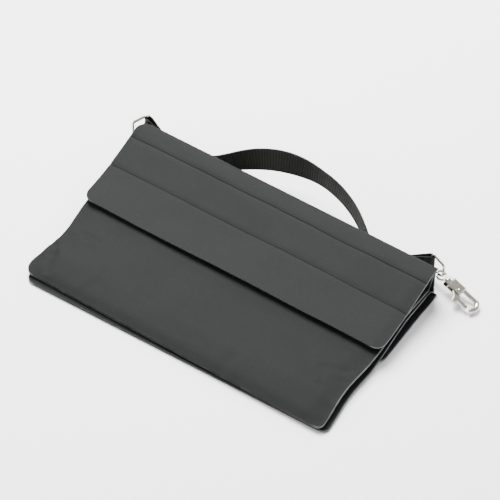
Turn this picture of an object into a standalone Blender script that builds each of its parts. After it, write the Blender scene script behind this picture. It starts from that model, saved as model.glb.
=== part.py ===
"""Empty two-pouch saddle bag of coated canvas, lying folded with its flaps closed.

Two flat pouches hang from one spine strip. Folded, they lie on each other with the spine
standing at the back. A flap closes each pouch with hook-and-loop tape. Webbing along the
spine carries a grab handle and, at each end, a wire ring. A swivel snap hook hangs on the
right ring. The frame has +X along the spine to the right, -Y towards the pouches' closed
ends and +Z up. The origin is on the underside of the lower flap, on the table.
"""
import math

import bmesh
import bpy
from mathutils import Matrix, Vector

MM = 0.001

# Driving dimensions, in millimetres. A sheet's profile is its middle line, as points of
# (distance forward of the spine, height above the table).
SPINE_Y = 58.0
POUCH_WIDTH = 376.0
POUCH_DEPTH = 222.0
FLAP_WIDTH = 382.0
FLAP_DEPTH = 114.0
FLAP_CORNER = 12.0
ROOT_CUT = 20.0        # taken off each side of the upper flap's root, to clear the ring tabs
ROOT_CUT_END = 9.0     # how far forward of the spine that goes
POUCH_CORNER = 8.0
CANVAS = 1.2
FLAP_CANVAS = 1.6
TAPE = 1.2
TAPE_LENGTH = 360.0
TAPE_NEAR = 22.0
TAPE_FAR = 61.0
GAP = 0.3
SEAM_GAP = CANVAS + 3 * GAP
SEAM_WIDTH = 24.0
MOUTH = 16.0

SPINE_BOTTOM = 3.5
SPINE_TOP = 41.0
WEBBING_HEIGHT = 24.4
WEBBING_Z = 24.5
WEBBING = 1.6
STRAP_Y = SPINE_Y + CANVAS / 2 + GAP + WEBBING / 2
STRAP_LEFT = -165.0
STRAP_RIGHT = 150.0
LAYER_Y = STRAP_Y + WEBBING / 2 + GAP + CANVAS / 2
PATCH_LENGTH = 27.0

UPPER_FOLD_Z = 42.6
LOWER_FOLD_Z = 2.2
UPPER_FLAP_Z = 45.0
LOWER_FLAP_Z = FLAP_CANVAS / 2

UPPER_FLAP = [(1.8, 45.0), (8, 44.8), (22, 41.4), (61, 30.8), (90, 25.0)]
UPPER_FLAP_FRONT = 21.2
UPPER_OUTER = [(MOUTH, 38.0), (60, 26.0), (100, 20.4), (130, 17.4), (190, 16.0), (POUCH_DEPTH, 8.1)]
UPPER_INNER = [(1.8, 41.0), (5, 34.0), (MOUTH, 30.7), (60, 17.5), (100, 12.4), (130, 10.1),
               (195, 9.2), (POUCH_DEPTH, 5.8)]
LOWER_INNER = [(1.8, 4.0), (5, 11.8), (MOUTH, 12.1), (60, 13.5), (84, 11.6), (112, 9.6), (130, 8.3),
               (195, 7.6), (POUCH_DEPTH, 2.8)]
LOWER_OUTER = [(MOUTH, 5.5), (66, 5.5), (84, 2.8), (112, 2.8), (130, 0.6), (POUCH_DEPTH, 0.6)]

# Side seams, as the same kind of points: where the two panels of a pouch meet at their sides.
UPPER_SEAM = [(1.8, 41.0), (5, 31.0), (MOUTH, 19.0), (60, 22.8), (100, 17.0), (130, 13.8), (190, 12.6),
              (POUCH_DEPTH, 6.95)]
LOWER_SEAM = [(1.8, 4.0), (5, 9.5), (MOUTH, 12.0), (60, 15.5), (84, 12.5), (112, 8.0), (130, 4.5),
              (POUCH_DEPTH, 1.7)]

HANDLE_ROUTE = [(-102.4, 62.3, 24.5), (-66, 75, 29.5), (-52, 109, 50.5), (35, 120, 50.5),
                (73, 87, 31.5), (102.4, 62.3, 24.5)]
HANDLE_AXIS_Y = 62.3
HANDLE_HALF_WIDTH = 12.5
HANDLE_THICKNESS = 2.0
HANDLE_ROLL = 0.5
HANDLE_ROLL_END = 0.62
HANDLE_ROOT_HALF = 1.0
HANDLE_ROOT_GAP = 0.9
HANDLE_STATIONS = 28

WIRE = 1.5
RING_HELD_SIDE = 30.0
RING_OUTER_SIDE = 17.0
RING_DEPTH = 17.0
RING_CORNER = 2.5
TAB_LOOP = WIRE + 0.5 + CANVAS / 2
TAB_LEAD = 4.0
TAB_RETURN = 15.0
TAB_ROOT = 1.2
TAB_SPREAD = (WEBBING + CANVAS) / 4 + GAP / 2 + 0.1
LEFT_BAR = Vector((-188.0, 64.4, 34.5))
LEFT_RING_WAY = Vector((-0.62, -0.785, 0.0))
RIGHT_BAR = Vector((172.9, 77.2, WEBBING_Z))
RIGHT_RING_WAY = Vector((0.976, -0.218, 0.0))

SNAP_EYE_CENTRE = Vector((188.6, 71.4, 18.9))
SNAP_ALONG = Vector((0.95, -0.122, -0.285)).normalized()
SNAP_ACROSS = Vector((-0.128, -0.992, 0.0))
EYE_RADIUS = 5.5
EYE_WIRE = 1.25
EYE_TO_COLLAR = 7.5
STEM_RADIUS = 1.5
STEM_START = -2.4
STEM_END = 8.2
STEM_HEAD = 2.1
STEM_HEAD_LENGTH = 1.7
STEM_BORE = 1.9
BORE_OVERRUN = 2.0
COLLAR_RADIUS = 6.0
COLLAR_LENGTH = 6.0
CHANNEL_START = 5.0
CHANNEL_END = 21.0
CHANNEL_BEVEL = 0.8
CHANNEL_BACK = -7.6
CHANNEL_FRONT = 5.0
CHANNEL_HALF = 4.2
SLOT_HALF = 2.4
SLOT_OVERRUN = 3.0
NOSE_CENTRE = (36.0, 2.7)
NOSE_RADIUS = 7.6
NOSE_WIRE = 2.7
NOSE_TURN = math.radians(150)
BACK_END = 28.0
PIVOT = (15.0, 1.8)
PIN_RADIUS = 1.0
PIN_HOLE = 1.3
GATE_HALF = 1.9
SPRING_SEAT_FLOOR = 0.3
SPRING_SEAT_RADIUS = 2.5
CUT_THROUGH = 8.0
GATE = [(12.6, -1.2), (17.6, -1.2), (20.5, 3.0), (24.0, 6.4), (36.6, 7.6), (36.0, 11.6),
        (24.0, 10.8), (21.6, 14.6), (19.2, 14.6), (17.2, 9.0), (12.6, 5.2), (11.4, 2.0)]
SPRING_RADIUS = 1.7
SPRING_WIRE = 0.17
SPRING_PITCH = 0.5
SPRING_TURNS = 3
SPRING_START = 0.6


def clear_scene():
    """Remove every object that the file started with."""
    for item in list(bpy.data.objects):
        bpy.data.objects.remove(item, do_unlink=True)


def material(name, colour, roughness, metallic=0.0):
    """A plain Principled material."""
    made = bpy.data.materials.new(name)
    made.use_nodes = True
    shader = made.node_tree.nodes["Principled BSDF"]
    shader.inputs["Base Color"].default_value = (*colour, 1.0)
    shader.inputs["Roughness"].default_value = roughness
    shader.inputs["Metallic"].default_value = metallic
    return made


def place(name, maker, finish, origin=(0.0, 0.0, 0.0), smooth=False):
    """Make an object from millimetre geometry, with its origin at the given point."""
    maker.verts.ensure_lookup_table()
    bmesh.ops.recalc_face_normals(maker, faces=maker.faces)
    shift = Vector(origin)
    for vert in maker.verts:
        vert.co = (vert.co - shift) * MM
    mesh = bpy.data.meshes.new(name)
    maker.to_mesh(mesh)
    maker.free()
    mesh.materials.append(finish)
    if smooth:
        mesh.shade_smooth()
        mesh.set_sharp_from_angle(angle=math.radians(40))
    item = bpy.data.objects.new(name, mesh)
    item.location = shift * MM
    bpy.context.collection.objects.link(item)
    return item


def thicken(item, thickness):
    """Give a sheet its thickness, half to each side of its middle surface."""
    wall = item.modifiers.new("thickness", "SOLIDIFY")
    wall.thickness = thickness * MM
    wall.offset = 0.0
    wall.use_even_offset = True


def height_at(profile, forward):
    """Height of a profile at a distance forward of the spine."""
    for (near, low), (far, high) in zip(profile, profile[1:]):
        if forward <= far:
            return low + (high - low) * (forward - near) / (far - near)
    return profile[-1][1]


def shifted(profile, lift):
    """The same profile, a lift higher."""
    return [(forward, height + lift) for forward, height in profile]


def half_width_at(forward, width, depth, corner):
    """Half the width of a sheet with round front corners."""
    into_corner = forward - (depth - corner)
    if into_corner <= 0:
        return width / 2
    return width / 2 - corner + math.sqrt(max(corner ** 2 - into_corner ** 2, 0.0))


def corner_stations(depth, corner, steps=4):
    """Distances forward that follow a round front corner."""
    turn = math.pi / 2 / steps
    return [depth - corner + corner * math.sin(turn * step) for step in range(steps + 1)]


def sheet(name, profile, width, corner, thickness, finish, origin, seam=None, root_cut=0.0):
    """A sheet that follows a profile. The seam profile is where its side edges lie."""
    depth = profile[-1][0]
    stations = [forward for forward, _ in profile if forward < depth - corner]
    stations += corner_stations(depth, corner)
    if root_cut:
        stations = sorted(stations + [ROOT_CUT_END])
    maker = bmesh.new()
    rows = []
    for forward in stations:
        half = half_width_at(forward, width, depth, corner)
        if forward < ROOT_CUT_END:
            half -= root_cut
        inner = max(half - SEAM_WIDTH, 0.5 * half)
        edge_z = height_at(seam or profile, forward)
        middle_z = height_at(profile, forward)
        row = [(-half, edge_z), (-inner, middle_z), (0.0, middle_z), (inner, middle_z), (half, edge_z)]
        rows.append([maker.verts.new((x, SPINE_Y - forward, z)) for x, z in row])
    for near, far in zip(rows, rows[1:]):
        for column in range(len(near) - 1):
            maker.faces.new((near[column], near[column + 1], far[column + 1], far[column]))
    item = place(name, maker, finish, origin)
    thicken(item, thickness)
    return item


def tape(name, profile, lift, finish, origin):
    """A flat tape that lies along a profile, a lift away from it."""
    maker = bmesh.new()
    near_z = height_at(profile, TAPE_NEAR)
    far_z = height_at(profile, TAPE_FAR)
    slope = Vector((0.0, -(TAPE_FAR - TAPE_NEAR), far_z - near_z)).normalized()
    normal = Vector((1.0, 0.0, 0.0)).cross(slope)
    if normal.z < 0:
        normal.negate()
    rows = []
    for forward, height in ((TAPE_NEAR, near_z), (TAPE_FAR, far_z)):
        middle = Vector((0.0, SPINE_Y - forward, height)) + normal * lift
        sides = [middle + Vector((side * TAPE_LENGTH / 2, 0.0, 0.0)) for side in (-1, 1)]
        rows.append([maker.verts.new(point) for point in sides])
    maker.faces.new((rows[0][0], rows[0][1], rows[1][1], rows[1][0]))
    item = place(name, maker, finish, origin)
    thicken(item, TAPE)
    return item


def block(name, low, high, finish):
    """A plain rectangular piece between two corners."""
    maker = bmesh.new()
    size = Vector(high) - Vector(low)
    centre = (Vector(high) + Vector(low)) / 2
    bmesh.ops.create_cube(maker, size=1.0)
    bmesh.ops.scale(maker, vec=size, verts=maker.verts)
    bmesh.ops.translate(maker, vec=centre, verts=maker.verts)
    return place(name, maker, finish)


def skin(maker, rings, closed=False):
    """Join rings of points into a skin, capped at its ends or closed on itself."""
    loops = [[maker.verts.new(point) for point in ring] for ring in rings]
    pairs = list(zip(loops, loops[1:]))
    if closed:
        pairs.append((loops[-1], loops[0]))
    for first, second in pairs:
        for index in range(len(first)):
            after = (index + 1) % len(first)
            maker.faces.new((first[index], first[after], second[after], second[index]))
    if not closed:
        maker.faces.new(loops[0])
        maker.faces.new(loops[-1])


def tangents(points, closed=False):
    """The direction of a path at each of its points."""
    found = []
    last = len(points) - 1
    for index in range(len(points)):
        before = points[index - 1] if index or closed else points[0]
        after = points[(index + 1) % len(points)] if index < last or closed else points[last]
        found.append((after - before).normalized())
    return found


def wire(maker, points, normal, radius, sides=10, closed=False):
    """A round wire along a path that lies across the given normal."""
    rings = []
    for point, along in zip(points, tangents(points, closed)):
        out = along.cross(normal).normalized()
        up = out.cross(along)
        turn = 2 * math.pi / sides
        rings.append([point + radius * (math.cos(turn * side) * out + math.sin(turn * side) * up)
                      for side in range(sides)])
    skin(maker, rings, closed)


def band(maker, points, across, half_widths, thickness, square=True):
    """A flat band along a path, its width direction given at each point and squared to the path."""
    rings = []
    for point, along, width_way, half in zip(points, tangents(points), across, half_widths):
        if square:
            width_way = (width_way - along * width_way.dot(along)).normalized()
        out = along.cross(width_way).normalized() * thickness / 2
        side = width_way * half
        rings.append([point - side - out, point + side - out, point + side + out, point - side + out])
    skin(maker, rings)


def unite(item, other, operation):
    """Join or cut a piece with another, which is then a hidden guide."""
    modifier = item.modifiers.new(operation.lower(), "BOOLEAN")
    modifier.operation = operation
    modifier.solver = "EXACT"
    modifier.object = other
    other.hide_render = True
    other.display_type = "WIRE"


def ring_outline():
    """Middle line of a ring, from its held side outwards: a trapezium with round corners."""
    half_held = RING_HELD_SIDE / 2
    half_outer = RING_OUTER_SIDE / 2
    corners = [Vector((0.0, -half_held)), Vector((RING_DEPTH, -half_outer)),
               Vector((RING_DEPTH, half_outer)), Vector((0.0, half_held))]
    points = []
    for index, corner in enumerate(corners):
        before = (corners[index - 1] - corner).normalized() * RING_CORNER
        after = (corners[(index + 1) % 4] - corner).normalized() * RING_CORNER
        for step in range(6):
            part = step / 5
            points.append(corner + before * (1 - part) ** 2 + after * part ** 2)
    return points


def ring(name, bar, way, finish):
    """A wire ring that stands out along a way. Its origin is on the bar that the webbing holds."""
    points = [bar + way.normalized() * out + Vector((0.0, 0.0, up)) for out, up in ring_outline()]
    maker = bmesh.new()
    wire(maker, points, way.cross(Vector((0.0, 0.0, 1.0))), WIRE, closed=True)
    return place(name, maker, finish, bar, smooth=True)


def ring_tab(name, strap_end, bar, finish):
    """Webbing that leaves the strap's end, loops round a ring's bar and comes back."""
    side = 1.0 if strap_end > 0 else -1.0
    spread = TAB_SPREAD
    root = Vector((strap_end + side * TAB_ROOT, LAYER_Y, WEBBING_Z))
    travel = Vector((bar.x - root.x, bar.y - root.y, 0.0)).normalized()
    away = Vector((0.0, 0.0, side)).cross(travel)
    points = [root + Vector((-side * TAB_RETURN, 0.0, 0.0))]
    points.append(root + away * spread)
    points.append(bar + away * TAB_LOOP - travel * TAB_LEAD)
    for step in range(9):
        angle = math.pi * step / 8
        points.append(bar + TAB_LOOP * (away * math.cos(angle) + travel * math.sin(angle)))
    points.append(bar - away * TAB_LOOP - travel * TAB_LEAD)
    points.append(root - away * spread)
    across = [Vector((0.0, 0.0, 1.0))] * len(points)
    maker = bmesh.new()
    band(maker, points, across, [WEBBING_HEIGHT / 2] * len(points), CANVAS, square=False)
    return place(name, maker, finish)


def bezier(controls, part):
    """A point on the Bezier curve with these control points."""
    points = [Vector(control) for control in controls]
    while len(points) > 1:
        points = [first.lerp(second, part) for first, second in zip(points, points[1:])]
    return points[0]


def handle(finish):
    """Grab handle: one webbing band, rolled over on its left half, narrow at its roots."""
    points = []
    across = []
    halves = []
    for station in range(HANDLE_STATIONS + 1):
        part = station / HANDLE_STATIONS
        point = bezier(HANDLE_ROUTE, part)
        roll = HANDLE_ROLL * math.sin(math.pi * min(1.0, part / HANDLE_ROLL_END)) ** 2
        points.append(point)
        across.append(Vector((0.0, math.sin(roll), math.cos(roll))))
        halves.append(min(HANDLE_HALF_WIDTH, HANDLE_ROOT_HALF + point.y - HANDLE_AXIS_Y))
    maker = bmesh.new()
    band(maker, points, across, halves, HANDLE_THICKNESS)
    return place("handle_strap", maker, finish, (0.0, HANDLE_AXIS_Y, WEBBING_Z))


def snap_frame():
    """Matrix from the snap hook's own axes to the bag's, with its origin at the collar."""
    along = SNAP_ALONG
    across = (SNAP_ACROSS - along * SNAP_ACROSS.dot(along)).normalized()
    through = along.cross(across)
    turn = Matrix((along, across, through)).transposed().to_4x4()
    start = SNAP_EYE_CENTRE + along * EYE_TO_COLLAR
    return Matrix.Translation(start) @ turn


def snap_piece(name, maker, finish, frame, origin=(0.0, 0.0, 0.0), smooth=True):
    """Place a piece that was drawn on the snap hook's own axes."""
    bmesh.ops.transform(maker, matrix=frame, verts=maker.verts)
    return place(name, maker, finish, frame @ Vector(origin), smooth)


def rod(maker, start, end, radius, axis, sides=20):
    """A closed cylinder along the X or Z axis between two coordinates."""
    middle = Vector(start).lerp(Vector(end), 0.5)
    length = (Vector(end) - Vector(start)).length
    turn = Matrix.Rotation(math.pi / 2, 4, "Y") if axis == "X" else Matrix.Identity(4)
    bmesh.ops.create_cone(maker, cap_ends=True, segments=sides, radius1=radius, radius2=radius,
                          depth=length, matrix=Matrix.Translation(middle) @ turn)


def cuboid(maker, low, high):
    """A closed box between two corners."""
    size = Vector(high) - Vector(low)
    centre = (Vector(high) + Vector(low)) / 2
    scale = Matrix.Diagonal((*size, 1.0))
    bmesh.ops.create_cube(maker, size=1.0, matrix=Matrix.Translation(centre) @ scale)


def guide(name, frame, finish, draw):
    """A hidden helper solid on the snap hook's axes."""
    maker = bmesh.new()
    draw(maker)
    return snap_piece(name, maker, finish, frame, smooth=False)


def snap_eye(frame, finish):
    """Swivel eye: a wire eye on a stem, whose head is captive behind the collar."""
    maker = bmesh.new()
    steps = 24
    circle = []
    for step in range(steps):
        angle = 2 * math.pi * step / steps
        along = EYE_RADIUS * math.cos(angle) - EYE_TO_COLLAR
        circle.append(Vector((along, EYE_RADIUS * math.sin(angle), 0.0)))
    wire(maker, circle, Vector((0.0, 0.0, 1.0)), EYE_WIRE, closed=True)
    bmesh.ops.transform(maker, matrix=frame, verts=maker.verts)
    ring_side = RIGHT_BAR + RIGHT_RING_WAY.normalized() * RING_DEPTH
    eye = place("snap_eye", maker, finish, (ring_side.x, ring_side.y, SNAP_EYE_CENTRE.z), smooth=True)

    def draw_stem(part):
        rod(part, (STEM_START, 0, 0), (STEM_END - STEM_HEAD_LENGTH / 2, 0, 0), STEM_RADIUS, "X")

    def draw_head(part):
        rod(part, (STEM_END - STEM_HEAD_LENGTH, 0, 0), (STEM_END, 0, 0), STEM_HEAD, "X")

    unite(eye, guide("stem_guide", frame, finish, draw_stem), "UNION")
    unite(eye, guide("stem_head_guide", frame, finish, draw_head), "UNION")
    return eye


def snap_body(frame, finish):
    """Cast body: collar, channel for the gate, straight back and round nose."""
    maker = bmesh.new()
    rod(maker, (0, 0, 0), (COLLAR_LENGTH, 0, 0), COLLAR_RADIUS, "X", 28)
    body = snap_piece("snap_body", maker, finish, frame)

    def draw_channel(part):
        cuboid(part, (CHANNEL_START, CHANNEL_BACK, -CHANNEL_HALF),
               (CHANNEL_END, CHANNEL_FRONT, CHANNEL_HALF))
        bmesh.ops.bevel(part, geom=part.edges, offset=CHANNEL_BEVEL, segments=1, affect="EDGES")

    def draw_nose(part):
        back = NOSE_CENTRE[1] - NOSE_RADIUS
        points = [Vector((CHANNEL_END - 2 * CHANNEL_BEVEL, back, 0.0)), Vector((BACK_END, back, 0.0))]
        steps = 12
        for step in range(steps + 1):
            angle = -math.pi / 2 + NOSE_TURN * step / steps
            points.append(Vector((NOSE_CENTRE[0] + NOSE_RADIUS * math.cos(angle),
                                  NOSE_CENTRE[1] + NOSE_RADIUS * math.sin(angle), 0.0)))
        wire(part, points, Vector((0.0, 0.0, 1.0)), NOSE_WIRE, 14)

    def draw_slot(part):
        cuboid(part, (COLLAR_LENGTH, -SLOT_HALF, -SLOT_HALF),
               (CHANNEL_END + SLOT_OVERRUN, CHANNEL_FRONT + SLOT_OVERRUN, SLOT_HALF))

    def draw_bore(part):
        rod(part, (-BORE_OVERRUN, 0, 0), (COLLAR_LENGTH + BORE_OVERRUN, 0, 0), STEM_BORE, "X")

    def draw_pin_hole(part):
        rod(part, (*PIVOT, -CUT_THROUGH), (*PIVOT, CUT_THROUGH), PIN_HOLE, "Z", 16)

    unite(body, guide("channel_guide", frame, finish, draw_channel), "UNION")
    unite(body, guide("nose_guide", frame, finish, draw_nose), "UNION")
    unite(body, guide("slot_guide", frame, finish, draw_slot), "DIFFERENCE")
    unite(body, guide("bore_guide", frame, finish, draw_bore), "DIFFERENCE")
    unite(body, guide("pin_hole_guide", frame, finish, draw_pin_hole), "DIFFERENCE")
    return body


def snap_gate(frame, finish):
    """Gate lever with its thumb tab, turning on the pin."""
    maker = bmesh.new()
    corners = [maker.verts.new((along, across, -GATE_HALF)) for along, across in GATE]
    face = maker.faces.new(corners)
    grown = bmesh.ops.extrude_face_region(maker, geom=[face])
    lifted = [part for part in grown["geom"] if isinstance(part, bmesh.types.BMVert)]
    bmesh.ops.translate(maker, vec=(0, 0, 2 * GATE_HALF), verts=lifted)
    gate = snap_piece("snap_gate", maker, finish, frame, (*PIVOT, 0.0), smooth=False)

    def draw_pin_hole(part):
        rod(part, (*PIVOT, -CUT_THROUGH), (*PIVOT, CUT_THROUGH), PIN_HOLE, "Z", 16)

    def draw_spring_seat(part):
        rod(part, (*PIVOT, SPRING_SEAT_FLOOR), (*PIVOT, CUT_THROUGH), SPRING_SEAT_RADIUS, "Z")

    unite(gate, guide("gate_hole_guide", frame, finish, draw_pin_hole), "DIFFERENCE")
    unite(gate, guide("spring_seat_guide", frame, finish, draw_spring_seat), "DIFFERENCE")
    return gate


def gate_pin(frame, finish):
    """Rivet pin through both cheeks of the channel."""
    maker = bmesh.new()
    rod(maker, (*PIVOT, -CHANNEL_HALF), (*PIVOT, CHANNEL_HALF), PIN_RADIUS, "Z", 16)
    return snap_piece("snap_gate_pin", maker, finish, frame, (*PIVOT, 0.0))


def gate_spring(frame, finish):
    """Small coil spring round the pin, in the gate's recess."""
    maker = bmesh.new()
    per_turn = 14
    points = []
    for step in range(SPRING_TURNS * per_turn + 1):
        angle = 2 * math.pi * step / per_turn
        points.append(Vector((PIVOT[0] + SPRING_RADIUS * math.cos(angle),
                              PIVOT[1] + SPRING_RADIUS * math.sin(angle),
                              SPRING_START + SPRING_PITCH * step / per_turn)))
    wire(maker, points, Vector((0.0, 0.0, 1.0)), SPRING_WIRE, 6)
    return snap_piece("snap_gate_spring", maker, finish, frame, (*PIVOT, 0.0))


def build():
    clear_scene()
    canvas = material("canvas", (0.085, 0.092, 0.090), 0.6)
    lining = material("lining", (0.03, 0.033, 0.033), 0.5)
    webbing = material("webbing", (0.05, 0.055, 0.05), 0.7)
    loop_pile = material("loop_pile", (0.02, 0.02, 0.02), 0.95)
    nickel = material("nickel", (0.75, 0.73, 0.68), 0.2, 1.0)
    spring_steel = material("spring_steel", (0.5, 0.5, 0.5), 0.35, 1.0)

    upper_fold = (0.0, SPINE_Y, UPPER_FOLD_Z)
    lower_fold = (0.0, SPINE_Y, LOWER_FOLD_Z)
    upper_flap_line = (0.0, SPINE_Y, UPPER_FLAP_Z)
    lower_flap_line = (0.0, SPINE_Y, LOWER_FLAP_Z)

    # Spine: a canvas strip with webbing sewn along its back.
    block("spine_panel", (-POUCH_WIDTH / 2, SPINE_Y - CANVAS / 2, SPINE_BOTTOM),
          (POUCH_WIDTH / 2, SPINE_Y + CANVAS / 2, SPINE_TOP), canvas)
    low = WEBBING_Z - WEBBING_HEIGHT / 2
    high = WEBBING_Z + WEBBING_HEIGHT / 2
    block("spine_strap", (STRAP_LEFT, STRAP_Y - WEBBING / 2, low),
          (STRAP_RIGHT, STRAP_Y + WEBBING / 2, high), webbing)

    # Upper pouch: its two panels meet at the side seams, which sag into the fold by the spine.
    sheet("upper_inner_panel", UPPER_INNER, POUCH_WIDTH, POUCH_CORNER, CANVAS, lining,
          upper_fold, shifted(UPPER_SEAM, -SEAM_GAP / 2))
    sheet("upper_outer_panel", UPPER_OUTER, POUCH_WIDTH, POUCH_CORNER, CANVAS, canvas,
          upper_fold, shifted(UPPER_SEAM, SEAM_GAP / 2))
    layer = CANVAS / 2 + GAP + TAPE / 2
    tape("upper_loop_tape", UPPER_OUTER, layer, loop_pile, upper_fold)
    tape("upper_hook_tape", UPPER_OUTER, layer + TAPE + GAP, loop_pile, upper_flap_line)
    sheet("upper_flap", UPPER_FLAP + [(FLAP_DEPTH, UPPER_FLAP_FRONT)], FLAP_WIDTH, FLAP_CORNER,
          FLAP_CANVAS, canvas, upper_flap_line, root_cut=ROOT_CUT)

    # Lower pouch: the same, with its side seams lifted off the flap below.
    sheet("lower_inner_panel", LOWER_INNER, POUCH_WIDTH, POUCH_CORNER, CANVAS, lining,
          lower_fold, shifted(LOWER_SEAM, SEAM_GAP / 2))
    sheet("lower_outer_panel", LOWER_OUTER, POUCH_WIDTH, POUCH_CORNER, CANVAS, canvas,
          lower_fold, shifted(LOWER_SEAM, -SEAM_GAP / 2))
    tape("lower_loop_tape", LOWER_OUTER, -layer, loop_pile, lower_fold)
    tape("lower_hook_tape", LOWER_OUTER, -layer - TAPE - GAP, loop_pile, lower_flap_line)
    flat = [(1.8, FLAP_CANVAS / 2), (60, FLAP_CANVAS / 2), (FLAP_DEPTH, FLAP_CANVAS / 2)]
    sheet("lower_flap", flat, FLAP_WIDTH, FLAP_CORNER, FLAP_CANVAS, canvas, lower_flap_line)

    # Grab handle and the stitched ends that hold it on the strap.
    handle(webbing)
    start = HANDLE_ROUTE[-1][0] + HANDLE_ROOT_GAP
    for side, label in ((-1, "left"), (1, "right")):
        ends = sorted((side * start, side * (start + PATCH_LENGTH)))
        block(f"handle_{label}_patch", (ends[0], LAYER_Y - CANVAS / 2, low),
              (ends[1], LAYER_Y + CANVAS / 2, high), webbing)

    # Rings, and the webbing tabs that hold them.
    ring("left_ring", LEFT_BAR, LEFT_RING_WAY, nickel)
    ring("right_ring", RIGHT_BAR, RIGHT_RING_WAY, nickel)
    ring_tab("left_ring_tab", STRAP_LEFT, LEFT_BAR, webbing)
    ring_tab("right_ring_tab", STRAP_RIGHT, RIGHT_BAR, webbing)

    # Swivel snap hook on the right ring.
    frame = snap_frame()
    snap_eye(frame, nickel)
    snap_body(frame, nickel)
    snap_gate(frame, nickel)
    gate_pin(frame, nickel)
    gate_spring(frame, spring_steel)


build()
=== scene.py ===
import functools
from math import cos, pi, radians, sin, sqrt

import bpy
import numpy as np
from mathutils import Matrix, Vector, noise


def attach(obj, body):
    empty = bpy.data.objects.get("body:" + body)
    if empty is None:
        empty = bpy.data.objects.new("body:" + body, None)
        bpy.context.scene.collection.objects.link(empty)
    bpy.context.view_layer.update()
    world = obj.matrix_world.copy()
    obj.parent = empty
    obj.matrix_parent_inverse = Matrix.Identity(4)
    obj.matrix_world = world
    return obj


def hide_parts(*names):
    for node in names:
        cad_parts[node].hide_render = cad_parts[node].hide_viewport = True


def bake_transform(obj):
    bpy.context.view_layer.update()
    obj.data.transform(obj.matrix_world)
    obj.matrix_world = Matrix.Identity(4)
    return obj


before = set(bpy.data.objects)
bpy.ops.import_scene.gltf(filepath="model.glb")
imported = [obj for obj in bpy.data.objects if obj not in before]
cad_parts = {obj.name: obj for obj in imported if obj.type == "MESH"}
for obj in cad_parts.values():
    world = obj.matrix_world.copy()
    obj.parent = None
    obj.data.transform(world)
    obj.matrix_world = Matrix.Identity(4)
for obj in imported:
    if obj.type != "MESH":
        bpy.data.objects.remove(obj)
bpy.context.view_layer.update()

# Lengths are in millimetres and become metres where they reach Blender.
MM = 0.001

# Studio: the bag lies on a wide sheet of pale paper. A broad soft light hangs over its back left
# corner, a weaker one stands behind it and a weak one fills from the front.
TARGET = Vector((0, -52, 10)) * MM
CAMERA_AZIMUTH = radians(33.97)
CAMERA_ELEVATION = radians(50.45)
CAMERA_DISTANCE = 2775.2 * MM
CAMERA_LENS = 187.2
CAMERA_SHIFT = (0.0406, 0.0573)
CAMERA_REACH = 60
PAPER_SIZE = 9.0
PAPER_DROP = 0.2 * MM
PAPER_ROUGHNESS = 0.9
PAPER_WHITE = (0.93, 0.93, 0.93, 1)
LIGHTS = (
    ("top_softbox", (-0.9, 0.7, 2.2), 1.6, 290.0),
    ("back_softbox", (0.5, 2.4, 1.4), 1.0, 40.0),
    ("front_fill", (-1.9, -1.9, 1.2), 1.2, 25.0),
)
ROOM_WHITE = (1.0, 1.0, 1.0, 1)
ROOM_STRENGTH = 0.75


def aimed(place, at):
    """Turn that points an object's -Z from its place at a target, with +Y up."""
    return (at - place).to_track_quat("-Z", "Y").to_euler()


towards_camera = Vector((
    sin(CAMERA_AZIMUTH) * cos(CAMERA_ELEVATION),
    -cos(CAMERA_AZIMUTH) * cos(CAMERA_ELEVATION),
    sin(CAMERA_ELEVATION)))
camera_place = TARGET + towards_camera * CAMERA_DISTANCE
bpy.ops.object.camera_add(location=camera_place, rotation=aimed(camera_place, TARGET))
camera = bpy.context.object
camera.name = "camera"
camera.data.sensor_width = 36
camera.data.lens = CAMERA_LENS
camera.data.shift_x, camera.data.shift_y = CAMERA_SHIFT
camera.data.clip_end = CAMERA_REACH
bpy.context.scene.camera = camera

for light_name, light_place, light_size, light_power in LIGHTS:
    light_place = Vector(light_place)
    bpy.ops.object.light_add(type="AREA", location=light_place, rotation=aimed(light_place, TARGET))
    lamp = bpy.context.object
    lamp.name = light_name
    lamp.data.shape = "DISK"
    lamp.data.size = light_size
    lamp.data.energy = light_power

room = bpy.data.worlds.new("room")
room.use_nodes = True
room_glow = room.node_tree.nodes["Background"]
room_glow.inputs["Color"].default_value = ROOM_WHITE
room_glow.inputs["Strength"].default_value = ROOM_STRENGTH
bpy.context.scene.world = room

bpy.ops.object.select_all(action="DESELECT")
bpy.ops.mesh.primitive_plane_add(size=PAPER_SIZE, location=(0, 0, -PAPER_DROP))
paper = bpy.context.object
paper.name = "paper"
paper_finish = bpy.data.materials.new("paper")
paper_finish.use_nodes = True
paper_shader = paper_finish.node_tree.nodes["Principled BSDF"]
paper_shader.inputs["Base Color"].default_value = PAPER_WHITE
paper_shader.inputs["Roughness"].default_value = PAPER_ROUGHNESS
paper.data.materials.append(paper_finish)


# Canvas: a fine plain weave of dyed polyester, coated on its back, cut in panels and seamed. Dust and
# handling pale it unevenly. The other pieces take a darker copy of the upper flap's colours, which is
# painted shade. The cut and folded edges are lighter, partly worn threads and partly painted highlight,
# and a dark band along the flap's stitch lines is painted shadow.
SPINE_Y = 58.0
CANVAS_GREY = (0.0098, 0.0108, 0.0104, 1)
CANVAS_DARK = (0.0066, 0.0076, 0.0074, 1)
CANVAS_EDGE = (0.11, 0.113, 0.110, 1)
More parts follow.
